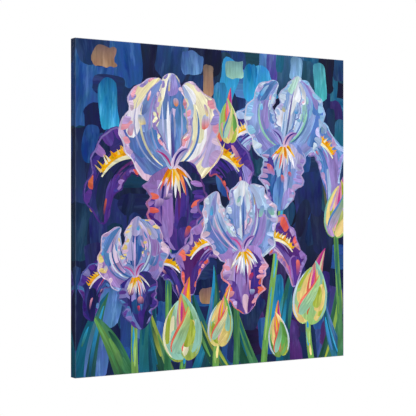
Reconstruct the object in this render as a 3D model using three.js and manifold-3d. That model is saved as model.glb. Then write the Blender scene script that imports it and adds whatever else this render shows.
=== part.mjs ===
// A gallery-wrapped canvas picture, 24 x 24 x 3/4 in, seen as its separate pieces: one sheet of primed
// canvas stretched over four interlocking pine bars, eight corner keys, staples, a sawtooth hanger with
// its nails and two rubber pads that hold the lower edge off the wall.
//
// Millimetres. +Z is up, +X is to the right as seen from the front, and the painted face looks to -Y.
// The origin is the middle of the hanger's centre notch, where the picture rests on its nail.

import * as THREE from "three";
import { mergeVertices } from "three/addons/utils/BufferGeometryUtils.js";
import Module from "manifold-3d";

const wasm = await Module();
wasm.setup();

// ---- driving dimensions ---------------------------------------------------------------------------

const FACE = 609.6; // finished width and height
const CLOTH = 0.5; // thickness of the primed canvas
const GAP = 0.3; // air left between pieces that touch
const EDGE_ROUND = 1.2; // radius that the cloth takes over the front and back edges
const TURNOVER = 21; // cloth folded onto the back of the bars

const BAR_WIDTH = 38;
const BAR_DEPTH = 18;
const BEAD_WIDTH = 4; // raised outer lip, the only wood that the face cloth touches
const BEAD_STEP = 1.6; // fall just inside the lip
const SLOPE_FALL = 3.2; // fall at the inner edge
const BAR_ROUND = 1; // eased edges of the wood
const LAYER = BAR_DEPTH / 4; // each corner joint is four layers: cheek, tongue, tongue, cheek
const MITRE_EASE = GAP / Math.SQRT2; // taken off each bar along its neighbour's length
const KEY_SLOT = 6.2; // how far a slot runs on past the joint, which leaves the room for a key

const KEY_LENGTH = 42;
const KEY_DRIVEN = 20; // length of the key inside the slot
const KEY_TIP = 2.6;
const KEY_MOUTH = KEY_SLOT - 2 * GAP; // width where it enters the slot

const STAPLE_CROWN = 11.2;
const STAPLE_WIRE = 0.6;
const STAPLE_WIDTH = 1.2;
const STAPLE_LEG = 6;
const STAPLES_PER_SIDE = 9;
const STAPLE_PITCH = 60;
const STAPLE_INSET = 11; // from the picture's outer edge
const STAPLE_TILTS = [2, -3, 1, 4, -2, 3, -1, -4, 2].map(THREE.MathUtils.degToRad);

const HANG_DROP = 32; // from the picture's top edge down to the notch
const HANGER_LENGTH = 46;
const HANGER_HEIGHT = 9;
const HANGER_SHEET = 0.9;
const HANGER_TAB = 9; // flat end that lies on the wood
const HANGER_RAMP = 3; // run of each bend
const HANGER_RISE = 1.6; // of the middle above the two ends, which is room for a nail's head
const NOTCHES = 7;
const NOTCH_PITCH = 3.2;
const NOTCH_FLAT = 1.2;
const NOTCH_DEPTH = 1.3;

const NAIL_SHANK_R = 0.7;
const NAIL_HEAD_R = 1.7;
const NAIL_HEAD = 0.8;
const NAIL_LENGTH = 11;

const PAD_R = 6;
const PAD_THICKNESS = 3;
const PAD_EDGE = 0.8; // rounding of the pad's rim
const PAD_FROM_SIDE = 45;

// ---- planes that follow from them -----------------------------------------------------------------

const half = FACE / 2;
const barHalf = half - CLOTH - GAP;
const barInner = barHalf - BAR_WIDTH;

const barBackY = -(GAP + HANGER_RISE + HANGER_SHEET / 2);
const barFrontY = barBackY - BAR_DEPTH;
const faceY = barFrontY - GAP - CLOTH;
const clothBackY = barBackY + GAP + CLOTH;
const pictureCentreZ = HANG_DROP - half;

const backTongueY = barBackY - LAYER; // rear plane of the rear tongue's layer
const frontTongueY = barBackY - 2 * LAYER;

// ---- materials ------------------------------------------------------------------------------------

const material = (color, roughness, metalness = 0) =>
  new THREE.MeshStandardMaterial({ color, roughness, metalness });
const printedCanvas = material(0x28356f, 0.75);
const pine = material(0xd9b98a, 0.7);
const beech = material(0xc99d6a, 0.6);
const galvanised = material(0xb9bcc0, 0.35, 1);
const nickelled = material(0xa8a9ab, 0.3, 1);
const rubber = material(0xd8d8d4, 0.55);

// ---- helpers --------------------------------------------------------------------------------------

function solidFrom(geometry) {
  const bare = new THREE.BufferGeometry();
  bare.setAttribute("position", geometry.getAttribute("position"));
  bare.setIndex(geometry.index);
  const merged = mergeVertices(bare, 1e-4);
  return new wasm.Manifold(
    new wasm.Mesh({
      numProp: 3,
      vertProperties: new Float32Array(merged.attributes.position.array),
      triVerts: new Uint32Array(merged.index.array),
    }),
  );
}

function geometryFrom(solid) {
  const { vertProperties, triVerts } = solid.getMesh();
  const geometry = new THREE.BufferGeometry();
  geometry.setAttribute("position", new THREE.BufferAttribute(vertProperties, 3));
  geometry.setIndex(new THREE.BufferAttribute(triVerts, 1));
  const flat = geometry.toNonIndexed();
  flat.computeVertexNormals();
  return flat;
}

const cut = (solid, cutters) => cutters.reduce((left, cutter) => left.subtract(cutter), solid);
const join = (solids) => solids.reduce((whole, next) => whole.add(next));

function box(x0, x1, y0, y1, z0, z1) {
  const geometry = new THREE.BoxGeometry(x1 - x0, y1 - y0, z1 - z0);
  return geometry.translate((x0 + x1) / 2, (y0 + y1) / 2, (z0 + z1) / 2);
}

// An outline in X and Z, made thickness deep towards the front from its rear plane backY.
function plate(shape, backY, thickness, options = {}) {
  const geometry = new THREE.ExtrudeGeometry(shape, {
    depth: thickness,
    bevelEnabled: false,
    ...options,
  });
  const turn = new THREE.Matrix4().makeBasis(
    new THREE.Vector3(1, 0, 0),
    new THREE.Vector3(0, 0, 1),
    new THREE.Vector3(0, -1, 0),
  );
  return geometry.applyMatrix4(turn).translate(0, backY, 0);
}

// A section in Y and Z, run along X from x0 to x1.
function rail(shape, x0, x1) {
  const geometry = new THREE.ExtrudeGeometry(shape, {
    depth: x1 - x0,
    bevelEnabled: false,
    curveSegments: 3,
  });
  const turn = new THREE.Matrix4().makeBasis(
    new THREE.Vector3(0, 1, 0),
    new THREE.Vector3(0, 0, 1),
    new THREE.Vector3(1, 0, 0),
  );
  return geometry.applyMatrix4(turn).translate(x0, 0, 0);
}

const outline = (points) => new THREE.Shape(points.map(([u, v]) => new THREE.Vector2(u, v)));

const square = (side) =>
  outline([
    [-side, -side],
    [side, -side],
    [side, side],
    [-side, side],
  ]);

// ---- staples --------------------------------------------------------------------------------------

// Crown on top at +Y with its underside at 0, legs down into the wood with chisel points.
function stapleShape(grow = 0) {
  const out = STAPLE_CROWN / 2 + grow;
  const inside = STAPLE_CROWN / 2 - STAPLE_WIRE - grow;
  const top = STAPLE_WIRE + grow;
  const tip = -STAPLE_LEG - 2 * grow;
  const bend = STAPLE_WIRE;
  const shape = new THREE.Shape();
  shape.moveTo(-out, top - bend);
  shape.lineTo(-out, tip + STAPLE_WIRE);
  shape.lineTo(-inside, tip);
  shape.lineTo(-inside, -grow);
  shape.lineTo(inside, -grow);
  shape.lineTo(inside, tip);
  shape.lineTo(out, tip + STAPLE_WIRE);
  shape.lineTo(out, top - bend);
  shape.absarc(out - bend, top - bend, bend, 0, Math.PI / 2, false);
  shape.lineTo(-out + bend, top);
  shape.absarc(-out + bend, top - bend, bend, Math.PI / 2, Math.PI, false);
  return shape;
}

function stapleGeometry(grow = 0) {
  const width = STAPLE_WIDTH + 2 * grow;
  const geometry = new THREE.ExtrudeGeometry(stapleShape(grow), {
    depth: width,
    bevelEnabled: false,
    curveSegments: 3,
  });
  return geometry.translate(0, 0, -width / 2);
}

// Where each staple of the top side stands, its corner staple last. The other sides are turned copies.
function stapleSpots() {
  const spots = STAPLE_TILTS.map((tilt, i) => ({
    name: `${i + 1}`,
    x: (i - (STAPLES_PER_SIDE - 1) / 2) * STAPLE_PITCH,
    y: clothBackY + GAP,
    z: half - STAPLE_INSET,
    tilt,
  }));
  spots.push({
    name: "corner",
    x: half - STAPLE_INSET,
    y: clothBackY + CLOTH + GAP,
    z: half - STAPLE_INSET,
    tilt: Math.PI / 4,
  });
  return spots;
}

const holeShape = stapleGeometry(GAP);
const stapleHoles = (quarterTurn) =>
  stapleSpots().map(({ x, y, z, tilt }) => {
    const place = new THREE.Matrix4()
      .makeRotationY(quarterTurn)
      .multiply(new THREE.Matrix4().makeTranslation(x, y, z))
      .multiply(new THREE.Matrix4().makeRotationY(tilt));
    return solidFrom(holeShape.clone().applyMatrix4(place));
  });

// ---- canvas ---------------------------------------------------------------------------------------

function canvasGeometry() {
  const round = (r) => ({
    bevelEnabled: true,
    bevelThickness: r,
    bevelSize: r,
    bevelSegments: 4,
  });
  const depth = clothBackY - faceY;
  const skin = plate(
    square(half - EDGE_ROUND),
    clothBackY - EDGE_ROUND,
    depth - 2 * EDGE_ROUND,
    round(EDGE_ROUND),
  );
  const innerRound = EDGE_ROUND - CLOTH;
  const hollow = plate(
    square(half - CLOTH - innerRound),
    clothBackY - CLOTH - innerRound,
    depth - 2 * CLOTH - 2 * innerRound,
    round(innerRound),
  );
  const window = half - TURNOVER;
  const backOpening = box(
    -window, window,
    clothBackY - 2 * CLOTH, clothBackY + CLOTH,
    -window, window,
  );
  // The end of each strip is folded under along the mitre, so a triangle of it lies double.
  const far = half - EDGE_ROUND;
  const near = half - TURNOVER;
  const foldOutline = outline([
    [near, near],
    [far, far],
    [near, far],
  ]);
  const fold = plate(foldOutline, clothBackY + CLOTH, CLOTH + GAP);
  const quarters = [0, 1, 2, 3].map((k) => (k * Math.PI) / 2);
  const folds = quarters.map((turn) => solidFrom(fold.clone().rotateY(turn)));
  const tray = cut(solidFrom(skin), [solidFrom(hollow), solidFrom(backOpening)]);
  return geometryFrom(cut(join([tray, ...folds]), quarters.flatMap(stapleHoles)));
}

// ---- stretcher bars -------------------------------------------------------------------------------

// Section of the top bar in Y and Z: flat back, square inner and outer edges, raised lip and sloping face.
function barSection() {
  const r = BAR_ROUND;
  const inner = barInner;
  const outer = barHalf;
  const slopeStart = outer - BEAD_WIDTH;
  const shape = new THREE.Shape();
  shape.moveTo(barBackY, inner + r);
  shape.lineTo(barBackY, outer - r);
  shape.absarc(barBackY - r, outer - r, r, 0, Math.PI / 2, false);
  shape.lineTo(barFrontY + r, outer);
  shape.absarc(barFrontY + r, outer - r, r, Math.PI / 2, Math.PI, false);
  shape.lineTo(barFrontY, slopeStart);
  shape.lineTo(barFrontY + BEAD_STEP, slopeStart - BEAD_STEP);
  shape.lineTo(barFrontY + SLOPE_FALL, inner + r);
  shape.absarc(barFrontY + SLOPE_FALL + r, inner + r, r, Math.PI, 1.5 * Math.PI, false);
  shape.lineTo(barBackY - r, inner);
  shape.absarc(barBackY - r, inner + r, r, 1.5 * Math.PI, 2 * Math.PI, false);
  return shape;
}

// Each bar ends in a mitre with one tongue and one slot. Its right end has the front tongue and the rear
// slot and its left end the opposite, so that four equal bars lock together all the way round.
function barSolid() {
  const long = barHalf + BAR_WIDTH;
  const blank = solidFrom(rail(barSection(), -barHalf, barHalf));
  const mitre = (side) => {
    const points = [
      [side * (barInner - MITRE_EASE - BAR_WIDTH), barInner - BAR_WIDTH],
      [side * long, barInner - BAR_WIDTH],
      [side * long, long + MITRE_EASE],
    ];
    const shape = outline(side > 0 ? points : points.reverse());
    return solidFrom(plate(shape, barBackY + 1, BAR_DEPTH + 2));
  };
  const tongue = (x0, x1, layerBackY) =>
    solidFrom(
      box(x0, x1, layerBackY - LAYER + GAP, layerBackY - GAP, barInner, barHalf),
    );
  const slot = (x0, x1, layerBackY) =>
    solidFrom(box(x0, x1, layerBackY - LAYER, layerBackY, barInner - 1, barHalf + 1));
  const root = barInner - KEY_SLOT;
  const end = barHalf - GAP;
  const mitred = cut(blank, [mitre(1), mitre(-1)]);
  const slotted = cut(mitred, [
    slot(root, long, backTongueY),
    slot(-long, -root, frontTongueY),
  ]);
  return join([
    slotted,
    tongue(root - 1, end, frontTongueY),
    tongue(-end, 1 - root, backTongueY),
  ]);
}

const nailSpots = [-1, 1].map((side) => side * (HANGER_LENGTH - HANGER_TAB) / 2);
const nailZ = HANGER_HEIGHT / 2;

function nailHoles() {
  return nailSpots.map((x) => {
    const r = NAIL_SHANK_R + GAP;
    const hole = new THREE.CylinderGeometry(r, r, 2 * NAIL_LENGTH, 16);
    return solidFrom(hole.translate(x, barBackY - 1, nailZ - pictureCentreZ));
  });
}

// ---- corner keys ----------------------------------------------------------------------------------

// A wedge driven up into the top bar's slot, its straight edge against the neighbour's tongue.
function keyGeometry(side, layerBackY) {
  const taper = (KEY_MOUTH - KEY_TIP) / KEY_DRIVEN;
  const head = KEY_TIP + taper * KEY_LENGTH;
  const straight = barInner - GAP;
  const top = barInner + KEY_DRIVEN;
  const foot = top - KEY_LENGTH;
  const points = [
    [side * straight, foot],
    [side * straight, top],
    [side * (straight - KEY_TIP), top],
    [side * (straight - head), foot],
  ];
  const shape = outline(side > 0 ? points : points.reverse());
  return plate(shape, layerBackY - GAP, LAYER - 2 * GAP);
}

// ---- hanger, nails and pads -----------------------------------------------------------------------

// A bent strip, flat at both ends and raised in the middle, with notches along its lower edge.
function hangerGeometry() {
  const tabEnd = HANGER_LENGTH / 2;
  const tabStart = tabEnd - HANGER_TAB;
  const rise = tabStart - HANGER_RAMP;
  const low = barBackY + GAP;
  const high = low + HANGER_RISE;
  const t = HANGER_SHEET;
  const strip = outline([
    [-tabEnd, low],
    [-tabStart, low],
    [-rise, high],
    [rise, high],
    [tabStart, low],
    [tabEnd, low],
    [tabEnd, low + t],
    [tabStart, low + t],
    [rise, high + t],
    [-rise, high + t],
    [-tabStart, low + t],
    [-tabEnd, low + t],
  ]);
  const lowerEdge = -NOTCH_DEPTH;
  const sheet = new THREE.ExtrudeGeometry(strip, {
    depth: HANGER_HEIGHT - lowerEdge,
    bevelEnabled: false,
  }).translate(0, 0, lowerEdge);
  const notches = Array.from({ length: NOTCHES }, (_, i) => {
    const x = (i - (NOTCHES - 1) / 2) * NOTCH_PITCH;
    const shape = outline([
      [x - NOTCH_FLAT / 2, 0],
      [x - NOTCH_PITCH / 2 + 0.1, lowerEdge - 0.1],
      [x + NOTCH_PITCH / 2 - 0.1, lowerEdge - 0.1],
      [x + NOTCH_FLAT / 2, 0],
    ]);
    return solidFrom(plate(shape, high + 2 * t, 3 * t));
  });
  const holes = nailSpots.map((x) => {
    const r = NAIL_SHANK_R + GAP;
    return solidFrom(new THREE.CylinderGeometry(r, r, 4 * t, 20).translate(x, low, nailZ));
  });
  return geometryFrom(cut(solidFrom(sheet), [...notches, ...holes]));
}

// Flat head on top at +Y, its underside at 0, and a pointed shank below.
function nailGeometry() {
  const profile = [
    [0, -NAIL_LENGTH],
    [NAIL_SHANK_R, -NAIL_LENGTH + 2],
    [NAIL_SHANK_R, 0],
    [NAIL_HEAD_R, 0],
    [NAIL_HEAD_R, NAIL_HEAD * 0.5],
    [NAIL_HEAD_R * 0.6, NAIL_HEAD],
    [0, NAIL_HEAD],
  ];
  return new THREE.LatheGeometry(profile.map(([r, y]) => new THREE.Vector2(r, y)), 20);
}

function padGeometry() {
  const profile = [new THREE.Vector2(0, 0), new THREE.Vector2(PAD_R, 0)];
  for (let i = 0; i <= 3; i++) {
    const a = ((i / 3) * Math.PI) / 2;
    profile.push(
      new THREE.Vector2(
        PAD_R - PAD_EDGE + PAD_EDGE * Math.cos(a),
        PAD_THICKNESS - PAD_EDGE + PAD_EDGE * Math.sin(a),
      ),
    );
  }
  profile.push(new THREE.Vector2(0, PAD_THICKNESS));
  return new THREE.LatheGeometry(profile, 32);
}

// ---- assembly -------------------------------------------------------------------------------------

const object = new THREE.Group();
const picture = new THREE.Group();
picture.position.z = pictureCentreZ;
object.add(picture);

function put(parent, name, geometry, surface, position = [0, 0, 0], turn = 0) {
  const mesh = new THREE.Mesh(geometry, surface);
  mesh.name = name;
  mesh.position.set(...position);
  mesh.rotation.y = turn;
  parent.add(mesh);
}

put(picture, "canvas", canvasGeometry(), printedCanvas);

const plainBar = cut(barSolid(), [...stapleHoles(0), ...stapleHoles(-Math.PI / 2)]);
const barGeometry = geometryFrom(plainBar);
const topBarGeometry = geometryFrom(cut(plainBar, nailHoles()));
const staple = stapleGeometry();
const sides = [
  { side: "top", leftEnd: "top_left", rightEnd: "top_right", lie: "upright" },
  { side: "right", leftEnd: "top_right", rightEnd: "bottom_right", lie: "level" },
  { side: "bottom", leftEnd: "bottom_right", rightEnd: "bottom_left", lie: "upright" },
  { side: "left", leftEnd: "bottom_left", rightEnd: "top_left", lie: "level" },
];
sides.forEach(({ side, leftEnd, rightEnd, lie }, k) => {
  const quarter = new THREE.Group();
  quarter.rotation.y = (k * Math.PI) / 2;
  picture.add(quarter);
  put(quarter, `stretcher_bar_${side}`, side === "top" ? topBarGeometry : barGeometry, pine);
  put(quarter, `corner_key_${rightEnd}_${lie}`, keyGeometry(1, backTongueY), beech);
  put(quarter, `corner_key_${leftEnd}_${lie}`, keyGeometry(-1, frontTongueY), beech);
  stapleSpots().forEach(({ name, x, y, z, tilt }) => {
    const place = name === "corner" ? `corner_${rightEnd}` : `${side}_${name}`;
    put(quarter, `staple_${place}`, staple, galvanised, [x, y, z], tilt);
  });
});

put(object, "sawtooth_hanger", hangerGeometry(), nickelled);
const nail = nailGeometry();
const nailSeatY = barBackY + GAP + HANGER_SHEET + GAP;
put(object, "hanger_nail_left", nail, nickelled, [nailSpots[0], nailSeatY, nailZ]);
put(object, "hanger_nail_right", nail, nickelled, [nailSpots[1], nailSeatY, nailZ]);

const pad = padGeometry();
const padX = half - PAD_FROM_SIDE;
const padZ = -(half - STAPLE_INSET);
const padSeatY = clothBackY + GAP;
put(picture, "wall_pad_left", pad, rubber, [-padX, padSeatY, padZ]);
put(picture, "wall_pad_right", pad, rubber, [padX, padSeatY, padZ]);

export default object;
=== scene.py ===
import math
import random
from collections import namedtuple

import bmesh
import bpy
import numpy as np
from bmesh.types import BMEdge, BMFace, BMVert
from mathutils import Matrix, Vector
from mathutils.geometry import delaunay_2d_cdt, interpolate_bezier


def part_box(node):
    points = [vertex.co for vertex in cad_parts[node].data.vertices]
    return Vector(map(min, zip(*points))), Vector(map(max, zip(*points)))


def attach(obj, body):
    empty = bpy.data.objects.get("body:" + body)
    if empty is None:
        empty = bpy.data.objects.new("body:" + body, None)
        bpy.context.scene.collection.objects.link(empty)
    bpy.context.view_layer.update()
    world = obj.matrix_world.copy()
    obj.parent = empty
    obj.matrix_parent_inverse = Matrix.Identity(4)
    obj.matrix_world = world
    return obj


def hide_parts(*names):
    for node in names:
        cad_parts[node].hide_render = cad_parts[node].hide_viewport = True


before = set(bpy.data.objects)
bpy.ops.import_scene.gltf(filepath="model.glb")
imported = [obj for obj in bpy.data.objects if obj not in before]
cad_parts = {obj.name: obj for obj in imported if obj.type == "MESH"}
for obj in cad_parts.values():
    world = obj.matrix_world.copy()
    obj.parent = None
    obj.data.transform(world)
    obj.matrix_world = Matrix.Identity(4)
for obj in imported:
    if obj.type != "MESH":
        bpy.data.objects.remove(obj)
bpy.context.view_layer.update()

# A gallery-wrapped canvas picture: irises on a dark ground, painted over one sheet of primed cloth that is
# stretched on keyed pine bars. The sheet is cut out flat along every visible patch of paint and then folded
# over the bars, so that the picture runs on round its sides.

brush = random.Random(11)

# ---- dimensions, in metres ----

CLOTH = 0.0005
EDGE_ROUND = 0.0012  # radius of the cloth's bends
FOLD_STEPS = 6
FOLD_SUPPORT = 0.001  # a line of points this far before each bend keeps the flats flat
BLEED = 0.004  # how far the picture runs on over the back
TURNOVER = 0.021  # from the outer edge of the back to the cloth's cut edge
TURNOVER_ROWS = 4
CORNER_SLIT = 0.00015  # how far the end of each side strip stays short of the corner
CUT_EDGE_WANDER = 0.0006  # how unevenly the cloth is cut
CUT_EDGE_WAVES = ((61, 2, 1), (173, 0, 1), (411, 0, 0.6))  # pace, start and height of each
THREAD = 0.0009  # from thread to thread of the weave
THREAD_STRAY = 0.0004  # how far a thread wanders from its line
MERGE = 5e-6  # points of the sheet that lie closer than this are one

FOLD_CUTS = 9
FOLD_LIFT = 0.00008  # air between a corner's two layers
FOLD_CREASE = 0.0002  # how far the pressed edges of a corner fold lie lower than its middle
FOLD_ROLL = 0.12  # how wide the pressed edges are, as a share of the fold

sheet_low, sheet_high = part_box("canvas")
bar_low, bar_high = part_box("stretcher_bar_top")
centre = Vector(((sheet_low.x + sheet_high.x) / 2, 0, (sheet_low.z + sheet_high.z) / 2))
half_face = (sheet_high.x - sheet_low.x) / 2
face_y = sheet_low.y
back_y = bar_high.y + (bar_low.y - face_y)  # as far behind the bars as the face is before them
depth = back_y - face_y

fold_start = half_face - EDGE_ROUND
fold_length = EDGE_ROUND * math.pi / 2
side_length = depth - 2 * EDGE_ROUND
picture_half = fold_start + fold_length / 2  # the picture is mirrored in the middle of the front bend
back_fold_start = fold_start + fold_length + side_length
picture_end = back_fold_start + fold_length + BLEED
sheet_end = back_fold_start + fold_length + TURNOVER - EDGE_ROUND


# ---- colours ----

PAINTS = {
    "ink": "10142e", "navy": "1a264f", "slate": "213768", "indigo": "2b2d6c", "blue": "2a5596",
    "mid_blue": "5580bf", "periwinkle": "7f97d0", "azure": "38a4da", "sky": "8fbfe6", "pale_blue": "a9c1e6",
    "ice": "cfdff1", "white": "efeef6", "deep_teal": "173f57", "teal": "1c6580", "aqua": "52b9c4",
    "mint": "98cdb9", "forest": "1f4c40", "green": "387352", "leaf": "6ca654", "light_green": "9fc66f",
    "yellow_green": "a9b847", "violet": "45308a", "purple": "583890", "plum": "5b2a70", "lilac": "8a83c6",
    "lavender": "b3addb", "wisteria": "9686c8", "mauve": "9a77bd", "orchid": "bfa2d4", "pink": "e2c5de",
    "rose": "e59cb0", "magenta": "b93a89", "red": "d6394e", "coral": "e66c5c", "amber": "e6861d",
    "gold": "f3b517", "butter": "eed388", "cream": "f1eac6", "tan": "b3896a", "olive": "5f5a3d",
}


def channels(code):
    return tuple(int(code[i : i + 2], 16) / 255 for i in (0, 2, 4))


def paint(name):
    return channels(PAINTS[name])


def pick(names):
    """One of the named paints. A name that comes twice is twice as likely."""
    return paint(brush.choice(names.split()))


def blend(one, other, share):
    return tuple(a + (b - a) * share for a, b in zip(one, other))


def held(value, low=0, high=1):
    return min(high, max(low, value))


def vary(colour, amount=0.03):
    """The same paint, mixed a little lighter, darker or off its hue."""
    shift = brush.uniform(-amount, amount)
    return tuple(held(c + shift + brush.uniform(-amount, amount) / 2) for c in colour)


def linear(colours):
    colours = np.asarray(colours)
    return np.where(colours <= 0.04045, colours / 12.92, ((colours + 0.055) / 1.055) ** 2.4)


# ---- patches of paint, on a square from -1 to 1 ----

Patch = namedtuple("Patch", "outline colour end_colour along")
picture = []
DAB_ROUNDNESS = 0.8  # 1 for an ellipse, less for a squarer dab
DAB_EDGE = 0.2  # how uneven the edge of a petal's dab is


def lay(outline, colour, along, end_colour=None):
    """Lays a patch of paint over what is there. Its colour changes to end_colour along the bristles."""
    way = Vector(along).normalized()
    picture.append(Patch(outline, vary(colour), vary(end_colour or colour), way))


def left_of(way):
    return Vector((-way.y, way.x))


def ripple(size, lobes):
    """An uneven edge: how far it lies out at each angle, where 1 is an even edge."""
    waves = [
        (k + 2, brush.uniform(0, math.tau), size * brush.uniform(0.4, 1) / (k + 2))
        for k in range(lobes)
    ]
    return lambda angle: 1 + sum(high * math.sin(pace * angle + start) for pace, start, high in waves)


def rounded(points, rough, lobes=3):
    """Points round a dab: their shares of its length and width, and how far out its edge is there."""
    edge = ripple(rough, lobes)
    for step in range(points):
        angle = math.tau * step / points
        cosine, sine = math.cos(angle), math.sin(angle)
        u = math.copysign(abs(cosine) ** DAB_ROUNDNESS, cosine)
        v = math.copysign(abs(sine) ** DAB_ROUNDNESS, sine)
        yield u, v, edge(angle)


def blob(x, y, length, width, angle, rough):
    """A rounded dab with an uneven edge."""
    turn = Matrix.Rotation(angle, 2)
    ring = rounded(24, rough, lobes=4)
    return [Vector((x, y)) + turn @ Vector((length * u, width * v)) * edge / 2 for u, v, edge in ring]


def ribbon(path, thickness):
    """A band along a path, as thick as thickness says at each share of its length."""
    last = len(path) - 1
    left, right = [], []
    for i, point in enumerate(path):
        way = (path[min(last, i + 1)] - path[max(0, i - 1)]).normalized()
        out = left_of(way) * thickness(i / last) / 2
        left.append(point + out)
        right.append(point - out)
    return left + right[::-1]


def swelling(size, start=0.1, end=0.95, bluntness=0.8):
    """A thickness that is full in the middle of a ribbon and thin at its ends."""
    return lambda t: size * math.sin(math.pi * (start + (end - start) * t)) ** bluntness


class Spot:
    """Places a flower's own coordinates on the picture."""

    def __init__(self, x, y, size, turn=0.0, slimness=1.0):
        self.middle = Vector((x, y))
        self.size = size
        self.turn = Matrix.Rotation(turn, 2)
        self.slimness = slimness

    def __call__(self, x, y):
        return self.middle + self.turn @ Vector((x * self.slimness, y)) * self.size


class Petal:
    """A petal as a map from (along, across) to the picture.

    Along runs from 0 at the throat to 1 at the tip, and across from -1 to 1 between the margins."""

    STEPS = 40
    CLAW = 0.16  # width at the throat, as a share of the full one

    def __init__(self, spot, spine, width, fullness=0.62, ruffle=0.1, lean=0.0, bluntness=0.5):
        self.line = interpolate_bezier(*[spot(*point) for point in spine], self.STEPS + 1)
        self.width = width * spot.size * spot.slimness
        self.fullness = fullness
        self.bluntness = bluntness
        self.lean = lean
        self.phase = brush.uniform(0, math.tau)
        self.waves = {side: self.margin_waves(ruffle) for side in (-1, 1)}

    @staticmethod
    def margin_waves(ruffle):
        """The ruffles of one margin: pace, start and height of each wave."""
        return [(6 * k, brush.uniform(0, math.tau), ruffle / k) for k in (1, 1.7, 2.9)]

    def half_width(self, along, side, ruffled):
        """From the middle line to the margin on a side. ruffled says how much the margin's waves count."""
        body = math.sin(math.pi * along**self.fullness) ** self.bluntness if 0 < along < 1 else 0
        claw = self.CLAW * (1 - along) ** 2
        waves = self.waves[side]
        ruffle = sum(high * math.sin(pace * math.pi * along + start) for pace, start, high in waves)
        uneven = 1 + ruffled * ruffle * min(1, 2.2 * along)
        return self.width * (1 + self.lean * side) * max(body, claw) * uneven

    def step_way(self, step):
        return self.line[min(self.STEPS, step + 1)] - self.line[max(0, step - 1)]

    def step_at(self, along):
        """The step of the middle line that a place lies in, and how far into it."""
        step = min(int(along * self.STEPS), self.STEPS - 1)
        return step, along * self.STEPS - step

    def way(self, along):
        """Which way the petal runs."""
        step, past = self.step_at(along)
        return self.step_way(step).lerp(self.step_way(step + 1), past).normalized()

    def at(self, along, across):
        """The point of the picture at a place on the petal."""
        along = held(along)
        step, past = self.step_at(along)
        point = self.line[step].lerp(self.line[step + 1], past)
        reach = self.half_width(along, 1 if across > 0 else -1, ruffled=abs(across) ** 3)
        return point + left_of(self.way(along)) * across * reach

    def outline(self, points=44):
        shares = [(1 - math.cos(math.pi * i / points)) / 2 for i in range(points + 1)]
        return [self.at(t, 1) for t in shares] + [self.at(t, -1) for t in shares[-2:0:-1]]

    def dab(self, along, across, length, width, slant, points=18):
        """A rounded patch that follows the petal and stays inside its margins."""
        outline = []
        for ahead, aside, edge in rounded(points, DAB_EDGE):
            u = length / 2 * ahead * edge
            v = width / 2 * aside * edge + slant * u
            outline.append(self.at(held(along + u, 0.01, 0.99), held(across + v, -0.99, 0.99)))
        return outline

    def vein(self, start, end, across, across_end, thickness, steps=12):
        """A thin line along the petal, from one place on it to another."""
        path = []
        for i in range(steps + 1):
            share = i / steps
            path.append(self.at(start + (end - start) * share, across + (across_end - across) * share))
        return ribbon(path, swelling(thickness, 0.08, 0.98))

    def brush_on(self, outline, names, along=0.5, end_names=None):
        """Lays one of the named paints, brushed the way that the petal runs there."""
        lay(outline, pick(names), self.way(along), pick(end_names) if end_names else None)


# ---- the flowers ----

# The paints of a petal: for its body, its lit and shaded places, its flecks, its margin and its veins.
Skin = namedtuple("Skin", "base light deep flecks margin veins")

# For each bloom, the paints of its standards and of its falls.
SKINS = {
    "cream": (
        Skin("pink lavender orchid pale_blue", "cream white pink butter cream",
             "mid_blue periwinkle wisteria", "coral butter rose amber",
             "pink orchid cream rose wisteria", "purple mid_blue violet"),
        Skin("violet purple indigo", "mauve wisteria lilac plum", "indigo violet navy",
             "coral azure rose orchid", "purple mauve coral violet", "indigo navy plum"),
    ),
    "orchid": (
        Skin("pale_blue lavender periwinkle", "ice white pink ice", "mid_blue wisteria mauve periwinkle",
             "azure butter mint rose", "ice pale_blue lavender pink", "blue mid_blue violet"),
        Skin("mauve wisteria purple", "orchid pink rose wisteria", "violet purple plum",
             "coral red magenta pale_blue", "rose coral mauve orchid", "violet indigo plum"),
    ),
    "ice": (
        Skin("periwinkle pale_blue sky", "ice pale_blue white mint", "mid_blue periwinkle wisteria",
             "mint rose azure butter", "ice pale_blue lavender sky", "blue mid_blue teal"),
        Skin("periwinkle mid_blue wisteria", "pale_blue lavender sky", "blue violet mid_blue",
             "coral leaf orchid ice", "pale_blue wisteria orchid", "indigo blue violet"),
    ),
    "dusk": (
        Skin("periwinkle lavender mid_blue", "pale_blue pink ice orchid", "mauve mid_blue blue",
             "butter magenta rose azure", "orchid periwinkle butter pink", "blue violet mid_blue"),
        Skin("violet indigo blue", "lilac mauve mid_blue", "indigo navy violet",
             "red coral rose", "violet lilac purple mid_blue", "navy indigo plum"),
    ),
}

# Spine, width and lean of the three standards, the far one first, for the ways in which a bloom opens.
STANDARDS = {
    "closed": (
        (((0, 0), (0.04, 0.4), (-0.03, 0.8), (0.06, 1.18)), 0.34, 0.0),
        (((-0.02, 0), (-0.46, 0.26), (-0.46, 0.8), (-0.1, 1.1)), 0.27, 0.3),
        (((0.02, 0), (0.5, 0.2), (0.5, 0.74), (0.2, 1.04)), 0.28, -0.3),
    ),
    "leaning": (
        (((0, 0), (0.1, 0.4), (0.06, 0.8), (0.2, 1.14)), 0.3, 0.0),
        (((0.02, 0), (0.46, 0.24), (0.56, 0.7), (0.2, 1.06)), 0.28, -0.3),
        (((-0.02, 0), (-0.44, 0.1), (-0.6, 0.62), (-0.2, 0.98)), 0.3, 0.2),
    ),
    "open": (
        (((0, 0), (0.04, 0.4), (-0.03, 0.8), (0.06, 1.14)), 0.34, 0.0),
        (((-0.02, 0), (-0.34, 0.24), (-0.58, 0.6), (-0.44, 0.98)), 0.28, 0.3),
        (((0.02, 0), (0.38, 0.26), (0.44, 0.7), (0.16, 1.06)), 0.3, -0.3),
    ),
}

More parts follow.
